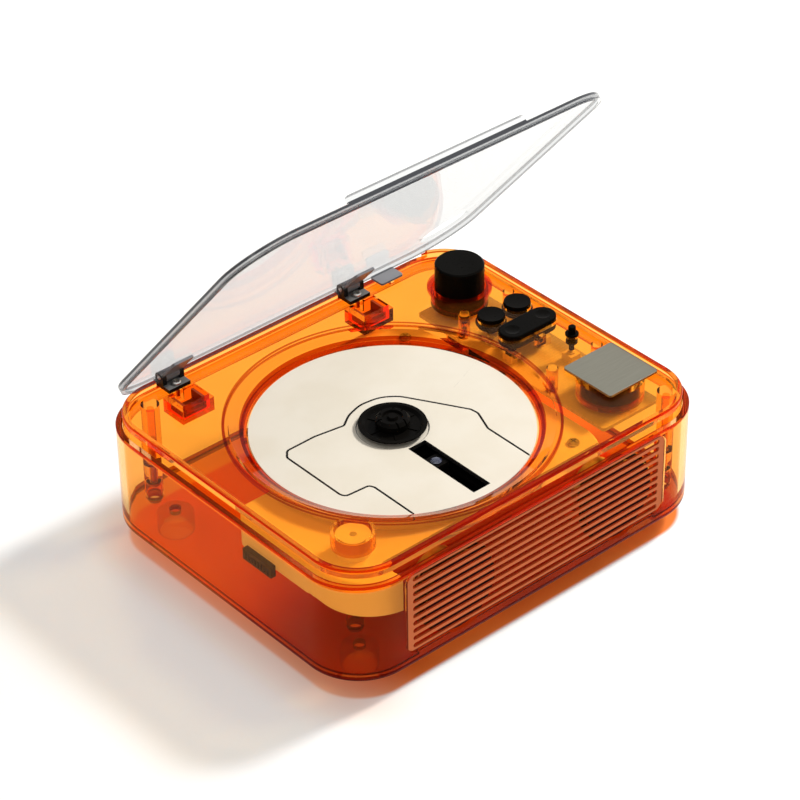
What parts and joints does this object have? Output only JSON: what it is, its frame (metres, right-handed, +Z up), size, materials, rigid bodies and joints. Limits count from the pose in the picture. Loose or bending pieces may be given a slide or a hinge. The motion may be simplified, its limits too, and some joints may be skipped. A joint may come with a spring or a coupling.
{
  "type": "disc player",
  "caption": "Disc player with a translucent tub, sunken disc well, hinged clear lid, front speaker grille, volume knob, sprung buttons and a rack-driven laser sled.",
  "frame": {"origin": "middle of the footprint, on the plane the feet stand on, lid open", "axes": "+X to the right along the speaker grille's face, +Y from the grille towards the lid's hinge, +Z up out of the disc well"},
  "size_m": [0.202, 0.168, 0.1924],
  "materials": {
    "clear_orange": "translucent, polished",
    "grille_orange": "translucent, satin",
    "black_plastic": "fine satin",
    "driver_paper": "pressed paper",
    "magnet_steel": "zinc plated",
    "cream_plastic": "fine satin",
    "grey_plastic": "satin",
    "grey_satin": "satin",
    "soft_rubber": "translucent, matt",
    "foot_rubber": "translucent orange, matt",
    "board_white": "white solder mask",
    "brass": "machined",
    "satin_steel": "satin",
    "clear_plastic": "clear, polished",
    "lens_glass": "coated"
  },
  "bodies": {
    "housing": {"lower_tub": "clear_orange", "upper_deck": "clear_orange", "speaker_grille": "grille_orange", "driver_frames": "black_plastic", "driver_cones": "driver_paper", "driver_magnets": "magnet_steel", "driver_scrims": "driver_paper", "deck_chassis": "cream_plastic", "chassis_connector": "grey_plastic", "mechanism_cover": "cream_plastic", "traverse_frame": "black_plastic", "damper_rings": "soft_rubber", "damper_screws": "magnet_steel", "guide_rods": "magnet_steel", "spindle_motor": "magnet_steel", "sled_motor": "magnet_steel", "main_board": "board_white", "capacitors": "grey_plastic", "power_socket": "black_plastic", "audio_socket": "black_plastic", "control_board": "board_white", "tact_switches": "cream_plastic", "volume_control": "magnet_steel", "board_screws": "magnet_steel", "chassis_screws": "magnet_steel", "housing_screws": "magnet_steel", "rubber_feet": "foot_rubber", "plunger_bushing": "black_plastic", "hinge_brackets": "black_plastic", "hinge_pins": "magnet_steel", "hinge_screws": "magnet_steel", "hinge_clips": "cream_plastic", "lid_stay": "grey_satin"},
    "lid": {"lid_cover": "clear_plastic", "lid_hinge_leaves": "grey_satin"},
    "turntable": {"spindle_hub": "black_plastic"},
    "sled": {"laser_sled": "black_plastic", "objective_lens": "lens_glass"},
    "drive_gear": {"sled_gear": "black_plastic"},
    "drive_pinion": {"motor_pinion": "brass"},
    "volume": {"volume_knob": "black_plastic", "volume_shaft": "magnet_steel"},
    "first_button": {"button_left": "black_plastic"},
    "second_button": {"button_right": "black_plastic"},
    "rocker": {"rocker_button": "black_plastic"},
    "lid_switch": {"switch_plunger": "black_plastic"},
    "square_button": {"square_plate": "satin_steel", "square_piston": "black_plastic"}
  },
  "joints": [
    {"name": "lid_hinge", "type": "hinge", "parent": "housing", "child": "lid", "pos_m": [0, 0.0782, 0.0662], "axis": [1, 0, 0], "range_deg": [-20, 50]},
    {"name": "turntable_spin", "type": "hinge", "parent": "housing", "child": "turntable", "pos_m": [-0.0099, -0.0045, 0.057], "axis": [0, 0, 1], "continuous": true},
    {"name": "sled_slide", "type": "slide", "parent": "housing", "child": "sled", "axis": [0, -1, 0], "range_m": [-0.006, 0.0235]},
    {"name": "gear_turn", "type": "hinge", "parent": "housing", "child": "drive_gear", "pos_m": [0.0106, -0.02, 0.0452], "axis": [0, 0, 1], "range_deg": [-83, 322]},
    {"name": "pinion_turn", "type": "hinge", "parent": "housing", "child": "drive_pinion", "pos_m": [0.0194, -0.02, 0.0452], "axis": [0, 0, 1], "range_deg": [-690, 178]},
    {"name": "volume_turn", "type": "hinge", "parent": "housing", "child": "volume", "pos_m": [0.0783, 0.0512, 0.06], "axis": [0, 0, 1], "range_deg": [-150, 150]},
    {"name": "first_button_press", "type": "slide", "parent": "housing", "child": "first_button", "axis": [0, 0, -1], "range_m": [0, 0.001], "stiffness_N_per_m": 400, "springref_m": -0.0005},
    {"name": "second_button_press", "type": "slide", "parent": "housing", "child": "second_button", "axis": [0, 0, -1], "range_m": [0, 0.001], "stiffness_N_per_m": 400, "springref_m": -0.0005},
    {"name": "rocker_tilt", "type": "hinge", "parent": "housing", "child": "rocker", "pos_m": [0.0787, 0.0076, 0.0574], "axis": [0, 1, 0], "range_deg": [-2.5, 2.5], "stiffness_Nm_per_rad": 0.15},
    {"name": "lid_switch_press", "type": "slide", "parent": "housing", "child": "lid_switch", "axis": [0, 0, -1], "range_m": [0, 0.001], "stiffness_N_per_m": 300, "springref_m": -0.0005},
    {"name": "square_button_press", "type": "slide", "parent": "housing", "child": "square_button", "axis": [0, 0, -1], "range_m": [0, 0.0006], "stiffness_N_per_m": 900, "springref_m": -0.0006}
  ],
  "couplings": [
    {"joint": "gear_turn", "follows": "sled_slide", "rad_per_m": 238.1},
    {"joint": "pinion_turn", "follows": "sled_slide", "rad_per_m": -510.2}
  ]
}
